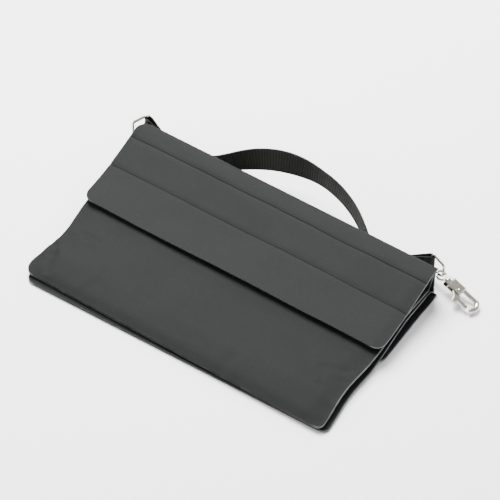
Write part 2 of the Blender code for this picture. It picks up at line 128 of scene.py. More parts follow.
# Painted shade: the pouch colours are a darker copy of the flap's canvas colours.
POUCH_SHADED_GREY = (0.0074, 0.0083, 0.0080, 1)
POUCH_SHADED_DARK = (0.0048, 0.0056, 0.0054, 1)
STITCH_SHADOW_DARK = (0.0008, 0.0009, 0.0009, 1)
LINING_BLACK = (0.005, 0.0053, 0.0062, 1)
LINING_GREY = (0.008, 0.009, 0.011, 1)
LINING_EDGE = (0.16, 0.16, 0.17, 1)
CANVAS_ROUGHNESS = 0.62
LINING_ROUGHNESS = 0.42
STITCH_LINES = (22.0, 61.0)
STITCH_SHADOW_CORE = 0.45 * MM
STITCH_SHADOW_FADE = 1.15 * MM
THREAD_PITCH = 0.42 * MM
EDGE_WEAR_AND_HIGHLIGHT = 0.75 * MM
MOTTLE_SCALE = 34.0
SLUB_SCALE = 420.0
EDGE_PATCH_SCALE = 60.0
WEAVE_RELIEF = 0.00012
FRONT_HIGHLIGHT_INSET = 0.5


class Value:
    """A number or colour inside a finish. The usual signs join it to others with node maths."""

    def __init__(self, finish, socket):
        self.finish = finish
        self.socket = socket

    def __add__(self, other):
        return self.finish.maths("ADD", self, other)

    def __sub__(self, other):
        return self.finish.maths("SUBTRACT", self, other)

    def __rsub__(self, other):
        return self.finish.maths("SUBTRACT", other, self)

    def __mul__(self, other):
        return self.finish.maths("MULTIPLY", self, other)

    __radd__ = __add__
    __rmul__ = __mul__


class Finish:
    """One material, built round its Principled shader."""

    def __init__(self, name, **constants):
        self.material = bpy.data.materials.new(name)
        self.material.use_nodes = True
        self.tree = self.material.node_tree
        self.shader = self.tree.nodes["Principled BSDF"]
        for socket, value in constants.items():
            self.shader.inputs[socket.replace("_", " ")].default_value = value

    def join(self, value, socket):
        if isinstance(value, Value):
            self.tree.links.new(value.socket, socket)
        else:
            socket.default_value = value

    def node(self, kind, settings, sockets, output=0):
        """Add a node of a type, with its settings and the values or links of its sockets."""
        made = self.tree.nodes.new(kind)
        for setting, value in settings.items():
            setattr(made, setting, value)
        for socket, value in sockets.items():
            self.join(value, made.inputs[socket])
        return Value(self, made.outputs[output])

    def maths(self, operation, first, second=0.0):
        return self.node("ShaderNodeMath", {"operation": operation}, {0: first, 1: second})

    def step(self, value, low, high):
        """0 below low, 1 above high, eased between them."""
        return self.node("ShaderNodeMapRange", {"interpolation_type": "SMOOTHSTEP"},
                         {"Value": value, "From Min": low, "From Max": high})

    def mix(self, share, first, second):
        """A colour between two colours."""
        return self.node("ShaderNodeMix", {"data_type": "RGBA"}, {0: share, 6: first, 7: second}, 2)

    def blotches(self, where, scale, detail=2.0):
        """Soft noise from 0 to 1, with a number of blotches to a metre."""
        return self.node("ShaderNodeTexNoise", {}, {"Vector": where, "Scale": scale, "Detail": detail})

    def object_place(self):
        return self.node("ShaderNodeTexCoord", {}, {}, 3)

    def attribute(self, name, output):
        return self.node("ShaderNodeAttribute", {"attribute_name": name}, {}, output)

    def bump(self, height, distance, strength=1.0):
        """Relief of a real height in metres, on the shader's Normal."""
        relief = self.node("ShaderNodeBump", {}, {"Height": height, "Distance": distance,
                                                  "Strength": strength})
        self.join(relief, self.shader.inputs["Normal"])

    def shade(self, **links):
        for socket, value in links.items():
            self.join(value, self.shader.inputs[socket.replace("_", " ")])


def flat_place(finish):
    """Where a point was on the cloth before it was laid: across it, and forward from the spine."""
    flat = finish.attribute("flat", 1)
    return [finish.node("ShaderNodeSeparateXYZ", {}, {0: flat}, axis) for axis in (0, 1)]


def weave(finish, across, forward, pitch=THREAD_PITCH):
    """Over-and-under relief of a plain weave, from 0 to 1, on the flat cloth's own measures."""
    turn = 2 * pi / pitch
    warp = finish.maths("SINE", across * turn)
    weft = finish.maths("SINE", forward * turn)
    return 0.5 + 0.5 * (warp * weft)


def canvas_finish(name, light, dark, edge, rough, sewn=()):
    """Woven canvas. Along each sewn line, a distance forward, a dark band of painted shadow stands for the
    stitches' groove.
    """
    finish = Finish(name, Roughness=rough, Specular_IOR_Level=0.1)
    place = finish.object_place()
    across, forward = flat_place(finish)
    threads = weave(finish, across, forward)
    mottle = finish.step(finish.blotches(place, MOTTLE_SCALE, 5.0), 0.38, 0.66)
    slubs = finish.step(finish.blotches(place, SLUB_SCALE, 2.0), 0.60, 0.78)
    # The pale band along the cut and folded edges is partly worn threads and partly painted highlight.
    worn_and_highlit_edge = 1.0 - finish.step(finish.attribute("edge", 2), 0.35 * EDGE_WEAR_AND_HIGHLIGHT, EDGE_WEAR_AND_HIGHLIGHT)
    cloth_colour = finish.mix(mottle, dark, light)
    cloth_colour = finish.mix(slubs * 0.05 + threads * 0.03, cloth_colour, edge)
    patchy = finish.step(finish.blotches(place, EDGE_PATCH_SCALE, 3.0), 0.30, 0.55)
    # Painted shadow: a dark band along each stitch line stands for the shade in the stitches' groove.
    for line in sewn:
        off_line = finish.maths("ABSOLUTE", forward - line * MM)
        painted_stitch_shadow = 1.0 - finish.step(off_line, STITCH_SHADOW_CORE, STITCH_SHADOW_FADE)
        cloth_colour = finish.mix(painted_stitch_shadow * 0.85, cloth_colour, STITCH_SHADOW_DARK)
    finish.shade(Base_Color=finish.mix(worn_and_highlit_edge * (0.45 + 0.4 * patchy), cloth_colour, edge),
                 Roughness=rough + 0.10 * mottle)
    finish.bump(threads * 0.6 + slubs * 0.5 + mottle * 0.4, WEAVE_RELIEF, 0.8)
    return finish.material


# Painted shade: the canvas faces of every piece but the upper flap take this darker copy of its colours.
canvas = canvas_finish("shaded_coated_canvas", POUCH_SHADED_GREY, POUCH_SHADED_DARK, CANVAS_EDGE, CANVAS_ROUGHNESS)
flap_canvas = canvas_finish("flap_canvas", CANVAS_GREY, CANVAS_DARK, CANVAS_EDGE, CANVAS_ROUGHNESS,
                            STITCH_LINES)
lining = canvas_finish("canvas_back", LINING_BLACK, LINING_GREY, LINING_EDGE, LINING_ROUGHNESS)


# Upper flap: two layers of canvas turned out and pressed, so its edge is a round fold. It is sewn in
# at the top of the spine, lies down over the pouch's mouth and lifts from the spine.
POUCH_WIDTH = 376.0
POUCH_DEPTH = 222.0
POUCH_CORNER = 8.0
FLAP_WIDTH = 382.0
FLAP_DEPTH = 114.0
FLAP_CORNER = 12.0
CANVAS_THICK = 1.2
FLAP_THICK = 1.6
GRID_PITCH = 2.6
BEND = 6.0
PRESSED_FOLD = 0.42
LIP_SPRING = 1.4
STITCH_DENT = 0.75
DENT_REACH = 1.9
SIDE_DROOP = 1.2
DROOP_START = 0.93
LIP_START = 70
TUCKED_CORNER = 14.0
BROAD_WAVE = (95, 70)
BROAD_LIFT = 0.055
SMALL_WAVE = (33, 26)
SMALL_LIFT = 0.016
UPPER_FLAP_LINE = ((-0.6, 43.4), (0.6, 44.6), (3, 45.2), (8, 44.9), (22, 41.8), (61, 31.4), (90, 26.4),
                   (FLAP_DEPTH, 23.4))


def eased(line, forward, bend=BEND):
    """Height on a line of (distance forward, height) points, its corners eased over a bend."""
    return _eased(line, round(forward, 3), bend)


@functools.lru_cache(maxsize=None)
def _eased(line, forward, bend):
    places, heights = zip(*line)
    reach = min(bend, max(forward - places[0], 0.0), max(places[-1] - forward, 0.0))
    window = np.linspace(-1, 1, 9)
    return float(np.average(np.interp(forward + reach * window, places, heights), weights=1.2 - abs(window)))


def hump(value, middle, reach):
    """A smooth rise to 1 at a middle, which dies away over a reach."""
    return 2.718 ** -(((value - middle) / reach) ** 2)


def ramp(value, low, high):
    """0 below low, 1 above high, eased between."""
    part = min(1.0, max(0.0, (value - low) / (high - low)))
    return part * part * (3 - 2 * part)


def slack(x, forward):
    """How much the cloth rises and falls as it lies, as a share of its height. All layers share it."""
    broad = noise.noise(Vector((x / BROAD_WAVE[0], forward / BROAD_WAVE[1], 3.7)))
    small = noise.noise(Vector((x / SMALL_WAVE[0], forward / SMALL_WAVE[1], 9.1)))
    return BROAD_LIFT * broad + SMALL_LIFT * small


def corner_rows(start, depth, corner, pitch=GRID_PITCH):
    """Distances forward of a sheet's rows, closing up round its front corners."""
    straight = np.arange(start, depth - corner, pitch)
    turns = np.linspace(0, pi / 2, 9)
    return np.concatenate([straight, depth - corner + corner * np.sin(turns)])


def round_front(width, depth, corner):
    """Half the width of a sheet at each distance forward, with its two front corners rounded."""
    def half(forward):
        into = min(corner, max(0.0, forward - (depth - corner)))
        return width / 2 - corner + sqrt(corner ** 2 - into ** 2)
    return half


def settle(piece, *finishes):
    """Finish a piece: its place goes into its mesh, and it takes its materials."""
    bpy.ops.object.select_all(action="DESELECT")
    piece.select_set(True)
    bpy.context.view_layer.objects.active = piece
    bpy.ops.object.transform_apply(location=True, rotation=True, scale=True)
    for finish in finishes:
        piece.data.materials.append(finish)
    bpy.ops.object.shade_smooth()
    return piece


def apply_modifiers(piece):
    bpy.context.view_layer.objects.active = piece
    for modifier in list(piece.modifiers):
        bpy.ops.object.modifier_apply(modifier=modifier.name)


def cloth(name, half, rows, lay, thick, top, under):
    """A sheet cut flat as a grid and then laid: lay(x, forward) is where a point of it comes to lie.
    Its two faces have a finish each."""
    bpy.ops.object.select_all(action="DESELECT")
    columns = 2 * round(half(rows[0]) / GRID_PITCH)
    last = len(rows) - 1
    bpy.ops.mesh.primitive_grid_add(x_subdivisions=columns, y_subdivisions=last, size=2)
    piece = bpy.context.object
    piece.name = name
    flat = []
    edge = []
    for vertex in piece.data.vertices:
        share = vertex.co.x
        row = round((1 - vertex.co.y) / 2 * last)
        forward = float(rows[row])
        x = share * half(forward)
        flat.append((x * MM, forward * MM, 0.0))
        from_side = half(forward) * (1 - abs(share))
        # The pale edge band, partly painted highlight, is left off the root edge and is fainter along the
        # front edge.
        from_root = forward - rows[0] + EDGE_WEAR_AND_HIGHLIGHT / MM
        from_front = rows[-1] - forward + FRONT_HIGHLIGHT_INSET
        edge.append(MM * min(from_side, from_root, from_front))
        vertex.co = Vector(lay(x, forward)) * MM
    mesh = piece.data
    mesh.attributes.new("flat", "FLOAT_VECTOR", "POINT").data.foreach_set("vector", np.ravel(flat))
    mesh.attributes.new("edge", "FLOAT", "POINT").data.foreach_set("value", edge)
    mesh.materials.append(top)
    mesh.materials.append(under)
    wall = piece.modifiers.new("wall", "SOLIDIFY")
    wall.thickness = thick * MM
    wall.offset = 0
    wall.material_offset = 1
    fold = piece.modifiers.new("fold", "BEVEL")
    fold.width = thick * PRESSED_FOLD * MM
    fold.segments = 3
    fold.limit_method = "ANGLE"
    fold.angle_limit = radians(60)
    apply_modifiers(piece)
    return settle(piece)


def upper_flap_lay(x, forward):
    """Top of the bag: the flap slopes down off the spine and springs up a little at its front. Its back
    left corner is tucked in, clear of the ring's webbing."""
    if x < 0:
        to_root = min(TUCKED_CORNER, max(0.0, TUCKED_CORNER - forward))
        tuck = TUCKED_CORNER - sqrt(TUCKED_CORNER ** 2 - to_root ** 2)
        x *= 1 - 2 * tuck / FLAP_WIDTH
    height = eased(UPPER_FLAP_LINE, forward) * (1 + slack(x, forward) * ramp(forward, 0, 20))
    ripple = noise.noise(Vector((x / 60, 1.3, 0.4)))
    spring = LIP_SPRING * ramp(forward, LIP_START, FLAP_DEPTH) * (0.6 + 0.7 * ripple)
    stitch_dent = STITCH_DENT * sum(hump(forward, line, DENT_REACH) for line in STITCH_LINES)
    side = abs(x) / (FLAP_WIDTH / 2)
    droop = SIDE_DROOP * ramp(side, DROOP_START, 1.0) * ramp(forward, 10, 40)
    return x, SPINE_Y - forward, height + spring - stitch_dent - droop


flap_half = round_front(FLAP_WIDTH, FLAP_DEPTH, FLAP_CORNER)
upper_flap = cloth("upper_flap_cloth", flap_half, corner_rows(-0.6, FLAP_DEPTH, FLAP_CORNER, 1.9),
                   upper_flap_lay, FLAP_THICK, flap_canvas, lining)
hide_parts("upper_flap")
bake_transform(upper_flap)


# Flap stitching: two rows of black thread hold the hook tape under the flap. They run from side to
# side, and each stitch is pulled a little way into the cloth.
STITCH_PITCH = 3.1
STITCH_LENGTH = 2.7
STITCH_RADIUS = 0.38
STITCH_PROUD = 0.05
THREAD_BLACK = (0.003, 0.003, 0.003, 1)
THREAD_GREY = (0.008, 0.009, 0.009, 1)


def thread_finish():
    finish = Finish("thread", Roughness=0.8, Specular_IOR_Level=0.1)
    twist = finish.step(finish.blotches(finish.object_place(), 2600.0, 1.0), 0.35, 0.65)
    finish.shade(Base_Color=finish.mix(twist, THREAD_BLACK, THREAD_GREY))
    finish.bump(twist, 0.00008)
    return finish.material


thread = thread_finish()


def stitches(name, start, length, bend, body, radius=STITCH_RADIUS):
    """A row of stitches along +X from start, each point then taken by bend to its place."""
    bpy.ops.object.select_all(action="DESELECT")
    bpy.ops.mesh.primitive_uv_sphere_add(segments=6, ring_count=4, radius=1, rotation=(0, pi / 2, 0))
    row = bpy.context.object
    row.name = name
    row.scale = (radius * MM, radius * MM, STITCH_LENGTH / 2 * MM)
    bpy.ops.object.transform_apply(location=True, rotation=True, scale=True)
    copies = row.modifiers.new("row", "ARRAY")
    copies.count = max(1, int(length / STITCH_PITCH))
    copies.use_relative_offset = False
    copies.use_constant_offset = True
    half_step = length / (2 * copies.count)
    copies.constant_offset_displace = (length / copies.count * MM, 0, 0)
    copies.use_merge_vertices = False
    apply_modifiers(row)
    for vertex in row.data.vertices:
        along = start + vertex.co.x / MM + half_step
        vertex.co = Vector(bend(along, vertex.co.y / MM, vertex.co.z / MM)) * MM
    settle(row, thread)
    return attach(row, body)


for line, label in zip(STITCH_LINES, ("near", "far")):
    def on_flap(along, aside, up, line=line):
        x, y, z = upper_flap_lay(along, line)
        return x, y + aside, z + FLAP_THICK / 2 + STITCH_PROUD + up * 0.8
    stitches(f"upper_flap_{label}_stitches", -FLAP_WIDTH / 2 + 1, FLAP_WIDTH - 2, on_flap, "upper_cover")


# Upper pouch: an outer panel on top and an inner one under it, sewn together at both sides and at the
# front and turned out. Empty, it lies flat; its sides draw in and its left front corner is creased.
MOUTH = 16.0
UPPER_OUTER_LINE = ((MOUTH, 38.0), (60, 26.0), (100, 20.0), (122, 16.6), (150, 16.4), (190, 15.6),
                    (212, 12.2), (POUCH_DEPTH, 8.1))
UPPER_INNER_LINE = ((-0.4, 37.5), (0.4, 40.4), (1.8, 40.6), (5, 34.0), (16, 30.7), (60, 17.5), (100, 12.4),
                    (130, 10.1), (195, 9.2), (POUCH_DEPTH, 5.8))
UPPER_SEAM_LINE = ((1.8, 40.6), (5, 30.0), (12, 18.5), (20, 19.2), (60, 22.8), (100, 17.0), (130, 13.8),
                   (190, 12.6), (POUCH_DEPTH, 6.95))
SEAM_REACH = 26.0
SEAM_LIFT = 0.75
CREASES = (((-184, 178), (-175, 190), 1.3, 3.6), ((-175, 190), (-166, 210), 1.1, 4.2),
           ((-180, 159), (-167, 160), 0.9, 3.2), ((-167, 152), (-146, 151), 0.8, 3.8),
           ((176, 150), (150, 158), 0.7, 4.0), ((182, 186), (160, 178), 0.8, 4.0),
           ((-120, 221), (-112, 196), 0.4, 5.0), ((60, 221), (66, 190), 0.4, 6.0))
BANK = 0.45
BANK_PLACE = 1.8
LEFT_DRAW = 5.2
LEFT_WAIST = (160, 30)
LEFT_FLARE = 2.4
LEFT_CORNER = (209, 10)
RIGHT_DRAW = 3.6
RIGHT_WAIST = (168, 32)
PUCKER = 0.35


def crease_depth(x, forward):
    """How far the soft creases press into the panel at a place, with a low bank beside each."""
    depth = 0.0
    here = Vector((x, forward))
    for start, end, deep, wide in CREASES:
        start, end = Vector(start), Vector(end)
        run = end - start
        part = min(1.0, max(0.0, (here - start).dot(run) / run.length_squared))
        away = (here - start - run * part).length
        depth += deep * (hump(away, 0, wide) - BANK * hump(away, BANK_PLACE * wide, wide))
    return depth


def pouch_x(x, forward):
    """The sides of a pouch draw in between its mouth and its front corners, and flare at the corners."""
    share = x / (POUCH_WIDTH / 2)
    drawn = LEFT_DRAW * hump(forward, *LEFT_WAIST) - LEFT_FLARE * hump(forward, *LEFT_CORNER)
    if x > 0:
        drawn = RIGHT_DRAW * hump(forward, *RIGHT_WAIST)
    return x - share * abs(share) ** 2 * drawn


def pouch_height(line, seam_line, lift):
    """Height of a panel: its own line in the middle, its seam's line at the sides."""
    def height(x, forward):
        to_side = POUCH_WIDTH / 2 - abs(x)
        at_seam = 1 - ramp(to_side, 0.4, SEAM_REACH)
        own = eased(line, forward)
        at_side = eased(seam_line, forward, 3.0) + lift
        pucker = PUCKER * hump(to_side, 5, 6) * noise.noise(Vector((forward / 7, x / 200, 5.5)))
        return own + (at_side - own) * at_seam + pucker
    return height


def panel_lay(height, swing, creased=0.0):
    """Lay a pouch panel: swing(x, forward) is how far it has slipped in X and forward."""
    def lay(x, forward):
        rise = height(x, forward) * (1 + slack(x, forward) * ramp(forward, 4, 30))
        if creased:
            rise -= creased * crease_depth(x, forward)
        slip_x, slip_forward = swing(x, forward)
        return pouch_x(x, forward) + slip_x, SPINE_Y - forward - slip_forward, rise
    return lay


def no_slip(x, forward):
    return 0.0, 0.0


pouch_half = round_front(POUCH_WIDTH, POUCH_DEPTH, POUCH_CORNER)
upper_outer_lay = panel_lay(pouch_height(UPPER_OUTER_LINE, UPPER_SEAM_LINE, SEAM_LIFT), no_slip, 1.0)
upper_outer = cloth("upper_outer_panel_cloth", pouch_half, corner_rows(MOUTH, POUCH_DEPTH, POUCH_CORNER),
                    upper_outer_lay, CANVAS_THICK, canvas, lining)
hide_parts("upper_outer_panel")
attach(upper_outer, "upper_half")

upper_inner_lay = panel_lay(pouch_height(UPPER_INNER_LINE, UPPER_SEAM_LINE, -SEAM_LIFT), no_slip, 0.8)
upper_inner = cloth("upper_inner_panel_cloth", pouch_half, corner_rows(-0.4, POUCH_DEPTH, POUCH_CORNER),
                    upper_inner_lay, CANVAS_THICK, lining, canvas)
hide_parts("upper_inner_panel")
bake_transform(upper_inner)


# Lower pouch: the same pouch, folded under the upper one. It has slipped a few millimetres to the
# right and turned a little, so its front edge and left corner show below the upper pouch.
LOWER_INNER_LINE = ((-0.4, 6.4), (0.4, 4.3), (1.8, 4.2), (5, 10.8), (16, 12.1), (60, 13.5), (84, 11.6),
                    (112, 9.6), (130, 8.3), (195, 7.6), (POUCH_DEPTH, 2.8))
LOWER_OUTER_LINE = ((MOUTH, 5.5), (66, 5.5), (84, 3.2), (112, 3.2), (130, 0.8), (POUCH_DEPTH, 0.8))
LOWER_SEAM_LINE = ((1.8, 4.2), (5, 9.5), (16, 12.0), (60, 15.5), (84, 12.5), (112, 8.0), (130, 4.5),
                   (POUCH_DEPTH, 2.0))
LOWER_SLIP_X = 5.0
LOWER_SLIP_FORWARD = 2.4
LOWER_TURN = 4.0


def lower_slip(x, forward):
    """The lower pouch has turned a little about the spine's middle, most at its front."""
    share = ramp(forward, 20, POUCH_DEPTH) * 0.6 + 0.4 * forward / POUCH_DEPTH
    return share * LOWER_SLIP_X, share * (LOWER_SLIP_FORWARD - LOWER_TURN * x / (POUCH_WIDTH / 2))


lower_inner_lay = panel_lay(pouch_height(LOWER_INNER_LINE, LOWER_SEAM_LINE, SEAM_LIFT), lower_slip)
lower_inner = cloth("lower_inner_panel_cloth", pouch_half, corner_rows(-0.4, POUCH_DEPTH, POUCH_CORNER),
                    lower_inner_lay, CANVAS_THICK, canvas, lining)
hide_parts("lower_inner_panel")
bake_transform(lower_inner)

lower_outer_lay = panel_lay(pouch_height(LOWER_OUTER_LINE, LOWER_SEAM_LINE, -SEAM_LIFT), lower_slip)
lower_outer = cloth("lower_outer_panel_cloth", pouch_half, corner_rows(MOUTH, POUCH_DEPTH, POUCH_CORNER),
                    lower_outer_lay, CANVAS_THICK, lining, canvas)
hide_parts("lower_outer_panel")
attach(lower_outer, "lower_half")


# Lower flap: the twin of the upper one, folded round the spine's bottom and lying flat under the bag.
# It stands out a little past the pouch's right side, where its dark inner face shows.
LOWER_FLAP_LINE = ((-0.6, 2.4), (0.6, 1.0), (3, 0.8), (60, 0.8), (FLAP_DEPTH, 0.8))


def lower_flap_lay(x, forward):
    """The flap lies on the table. Its right edge curls up a little."""
    curl = 1.6 * ramp(x, 176, FLAP_WIDTH / 2) * ramp(forward, 10, 40)
    return x + 1.2 * ramp(x, 120, 190), SPINE_Y - forward, eased(LOWER_FLAP_LINE, forward, 1.0) + curl


lower_flap = cloth("lower_flap_cloth", flap_half, corner_rows(-0.6, FLAP_DEPTH, FLAP_CORNER),
                   lower_flap_lay, FLAP_THICK, lining, canvas)
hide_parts("lower_flap")
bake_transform(lower_flap)


# Hook-and-loop tapes: soft loop pile on the pouches' outer panels, stiff hooks inside the flaps. The
# flap stitching goes through the hook tapes; the loop tapes are sewn along both long edges.
TAPE_LENGTH = 360.0
TAPE_THICK = 1.2
TAPE_CLEAR = 0.05
PILE_BLACK = (0.0035, 0.0035, 0.0038, 1)
PILE_GREY = (0.017, 0.017, 0.018, 1)
HOOK_PITCH = 1.5 * MM


def pile_finish():
    finish = Finish("loop_pile", Roughness=0.95, Specular_IOR_Level=0.15, Sheen_Weight=0.1)
    place = finish.object_place()
    curls = finish.step(finish.blotches(place, 1900.0, 3.0), 0.35, 0.70)
    tufts = finish.step(finish.blotches(place, 260.0, 2.0), 0.30, 0.70)
    finish.shade(Base_Color=finish.mix(curls * 0.6 + tufts * 0.3, PILE_BLACK, PILE_GREY))
    finish.bump(curls + tufts * 0.7, 0.0006)
    return finish.material


def hook_finish():
    finish = Finish("hook_rows", Roughness=0.55, Specular_IOR_Level=0.15)
    across, forward = flat_place(finish)
    rows = finish.step(weave(finish, across, forward, HOOK_PITCH), 0.55, 0.8)
    strays = finish.blotches(finish.object_place(), 900.0, 2.0)
    finish.shade(Base_Color=finish.mix(rows * (0.5 + 0.5 * strays), PILE_BLACK, PILE_GREY))
    finish.bump(rows, 0.0005)
    return finish.material


loop_pile = pile_finish()
hook_rows = hook_finish()
tape_rows = np.arange(STITCH_LINES[0], STITCH_LINES[1] + 0.5, 3.0)


def tape_half(forward):
    return TAPE_LENGTH / 2


def on_top_of(lay, lift):
    """The same lay, a lift higher."""
    def lifted(x, forward):
        px, py, pz = lay(x, forward)
        return px, py, pz + lift
    return lifted


on_panel = CANVAS_THICK / 2 + TAPE_THICK / 2 + TAPE_CLEAR
on_flap = FLAP_THICK / 2 + TAPE_THICK / 2 + TAPE_CLEAR
TAPES = (
    ("upper_loop_tape", upper_outer_lay, on_panel, loop_pile, "upper_half"),
    ("upper_hook_tape", upper_flap_lay, -on_flap, hook_rows, "upper_cover"),
    ("lower_loop_tape", lower_outer_lay, -on_panel, loop_pile, "lower_half"),
    ("lower_hook_tape", lower_flap_lay, on_flap, hook_rows, "lower_cover"),
)
for node, lay, lift, tape_finish, body in TAPES:
    tape = cloth(node + "_pile", tape_half, tape_rows, on_top_of(lay, lift), TAPE_THICK, tape_finish,
                 tape_finish)
    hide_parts(node)
    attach(tape, body)


# Spine: a canvas strip that joins the two pouches and hangs over the bar. Bindings of the same canvas
# close the seams along its top and bottom, where the flaps and the inner panels are sewn in.
SPINE_TOP = 41.8
SPINE_HEIGHT = 39.0
SPINE_BOW = 0.35
BINDING_THICK = 1.0
TOP_BINDING = ((59.35, 37.4), (59.35, 40.8), (58.9, 42.2), (57.8, 42.7), (57.2, 42.7))
BOTTOM_BINDING = ((59.35, 8.2), (59.35, 3.6), (58.9, 1.9), (57.9, 1.35), (57.2, 1.35))


def spine_half(forward):
    return POUCH_WIDTH / 2


def spine_lay(x, forward):
    """The strip stands between its two folds, and bows a little."""
    bow = SPINE_BOW * noise.noise(Vector((x / 70, forward / 20, 2.2)))
    held = ramp(forward, 0, 6) * ramp(SPINE_HEIGHT - forward, 0, 6)
    return x, SPINE_Y + bow * held, SPINE_TOP - forward


spine_panel = cloth("spine_panel_cloth", spine_half, np.arange(0, SPINE_HEIGHT + 0.1, 3.0),
                    spine_lay, CANVAS_THICK, lining, canvas)
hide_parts("spine_panel")
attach(spine_panel, "spine")

for name, route, sides in (("spine_top_binding", TOP_BINDING, (canvas, lining)),
                           ("spine_bottom_binding", BOTTOM_BINDING, (lining, canvas))):
    steps = np.linspace(0, len(route) - 1, 17)

    def binding_lay(x, step, route=route):
        turns = range(len(route))
        places, heights = zip(*route)
        return x, np.interp(step, turns, places), np.interp(step, turns, heights)
    binding = cloth(name, spine_half, steps, binding_lay, BINDING_THICK, *sides)
    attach(binding, "spine")


# Webbing: 25 mm polyester, woven with ribs across it. One length runs along the back of the spine, one
# loops round each end ring, and one makes the grab handle; all are sewn with black thread.
WEBBING_WIDTH = 24.4
WEBBING_THICK = 1.5
WEBBING_Z = 24.5
STRAP_Y = 59.7
STRAP_ENDS = (-165.0, 150.0)
RIB_PITCH = 3.2
RIB_RISE = 0.16
YARN_PITCH = 0.9
SELVEDGE_DROP = 0.25
SEAM_THREAD_RADIUS = 0.3
SEAM_INSET = 9.6
SEAM_SHARE = 0.985
ROWS_TO_A_RIB = 4
WEBBING_OLIVE = (0.021, 0.0225, 0.0195, 1)
WEBBING_BLACK = (0.006, 0.0066, 0.006, 1)


def webbing_finish():
    finish = Finish("webbing", Roughness=0.68, Specular_IOR_Level=0.12)
    across, along = flat_place(finish)
    ribs = 0.5 + 0.5 * finish.maths("SINE", along * (2 * pi / (RIB_PITCH * MM)))
    yarns = 0.5 + 0.5 * finish.maths("SINE", across * (2 * pi / (YARN_PITCH * MM)))
    fuzz = finish.blotches(finish.object_place(), 700.0, 3.0)
    pale = ribs * 0.55 + yarns * 0.15 + fuzz * 0.3
    finish.shade(Base_Color=finish.mix(pale, WEBBING_BLACK, WEBBING_OLIVE))
    finish.bump(yarns * 0.6 + fuzz * 0.5, 0.00018)
    return finish.material


webbing_weave = webbing_finish()


def even_steps(points, pitch):
    """Points at even distances along a path, and the distance of each."""
    path = np.array(points, float)
    runs = np.concatenate([[0], np.cumsum(np.linalg.norm(np.diff(path, axis=0), axis=1))])
    places = np.linspace(0, runs[-1], int(runs[-1] / pitch) + 1)
    return [Vector(np.interp(place, runs, path[:, axis]) for axis in range(3)) for place in places], places


def rounded(points, passes):
    """The same path with its corners eased, its two ends kept."""
    path = np.array(points, float)
    for _ in range(passes):
        path[1:-1] = (path[:-2] + 2 * path[1:-1] + path[2:]) / 4
    return path


def webbing(name, path, across, width=WEBBING_WIDTH, thick=WEBBING_THICK, square=True):
    """A ribbed band along a path. across(share) is its width's direction there, squared to the path."""
    points, places = even_steps(path, RIB_PITCH / ROWS_TO_A_RIB)
    last = len(points) - 1
    columns = 8
    bpy.ops.object.select_all(action="DESELECT")
    bpy.ops.mesh.primitive_grid_add(x_subdivisions=columns, y_subdivisions=last, size=2)
    band = bpy.context.object
    band.name = name
    flat = []
    for vertex in band.data.vertices:
        row = round((vertex.co.y + 1) / 2 * last)
        travel = (points[min(row + 1, last)] - points[max(row - 1, 0)]).normalized()
        wide = across(row / last)
        if square:
            wide = (wide - travel * wide.dot(travel)).normalized()
        out = wide.cross(travel).normalized()
        rib = RIB_RISE * cos(2 * pi * places[row] / RIB_PITCH)
        selvedge = -SELVEDGE_DROP * abs(vertex.co.x) ** 8
        flat.append((vertex.co.x * width / 2 * MM, places[row] * MM, 0.0))
        vertex.co = (points[row] + wide * vertex.co.x * width / 2 + out * (rib + selvedge)) * MM
    band.data.attributes.new("flat", "FLOAT_VECTOR", "POINT").data.foreach_set("vector", np.ravel(flat))
    band.data.materials.append(webbing_weave)
    wall = band.modifiers.new("wall", "SOLIDIFY")
    wall.thickness = thick * MM
    wall.offset = 0
    edge = band.modifiers.new("edge", "BEVEL")
    edge.width = 0.35 * MM
    edge.segments = 2
    edge.limit_method = "ANGLE"
    edge.angle_limit = radians(60)
    apply_modifiers(band)
    settle(band)
    return band


def upright(share):
    return Vector((0, 0, 1))


def sewn_path(name, corners, out, body):
    """Stitches along straight runs between corners, standing out of the webbing."""
    rows = []
    for start, end in zip(corners, corners[1:]):
        start = Vector(start)
        way = (Vector(end) - start).normalized()
        aside = out.cross(way)

        def bend(along, side, up, start=start, way=way, aside=aside):
            return start + way * along + aside * side + out * up
        rows.append(stitches(name, 0.0, (Vector(end) - start).length, bend, body, SEAM_THREAD_RADIUS))
    for row in rows:
        row.select_set(True)
    bpy.context.view_layer.objects.active = rows[0]
    bpy.ops.object.join()
    return rows[0]


spine_strap = webbing("spine_webbing", [(end, STRAP_Y, WEBBING_Z) for end in STRAP_ENDS], upright)
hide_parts("spine_strap")
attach(spine_strap, "spine")
BACK = Vector((0, 1, 0))
strap_face = STRAP_Y + WEBBING_THICK / 2 + 0.1
for aside, label in ((-SEAM_INSET, "low"), (SEAM_INSET, "high")):
    ends = [(end * SEAM_SHARE, strap_face, WEBBING_Z + aside) for end in STRAP_ENDS]
    sewn_path(f"spine_webbing_{label}_stitches", ends, BACK, "spine")


# Grab handle: one length of webbing, its ends sewn flat on the spine's webbing with a crossed box. It
# stands up and back from the spine, rolled over a little on its left half.
HANDLE_ROUTE = ((-102.4, 62.3, 24.5), (-71, 75, 29.5), (-56, 108, 50.2), (35, 120, 50.5),
                (73, 87, 31.5), (102.4, 62.3, 24.5))
HANDLE_ROLL = 0.5
HANDLE_ROLL_END = 0.62
HANDLE_ARCH = 228.6
HANDLE_LAP = 27.0
LAP_Y = 61.35
HANDLE_WIDTH = 25.0
HANDLE_THICK = 1.8
BOX_HALF = 9


def bezier(controls, part):
    points = [Vector(control) for control in controls]
    while len(points) > 1:
        points = [first.lerp(second, part) for first, second in zip(points, points[1:])]
    return points[0]


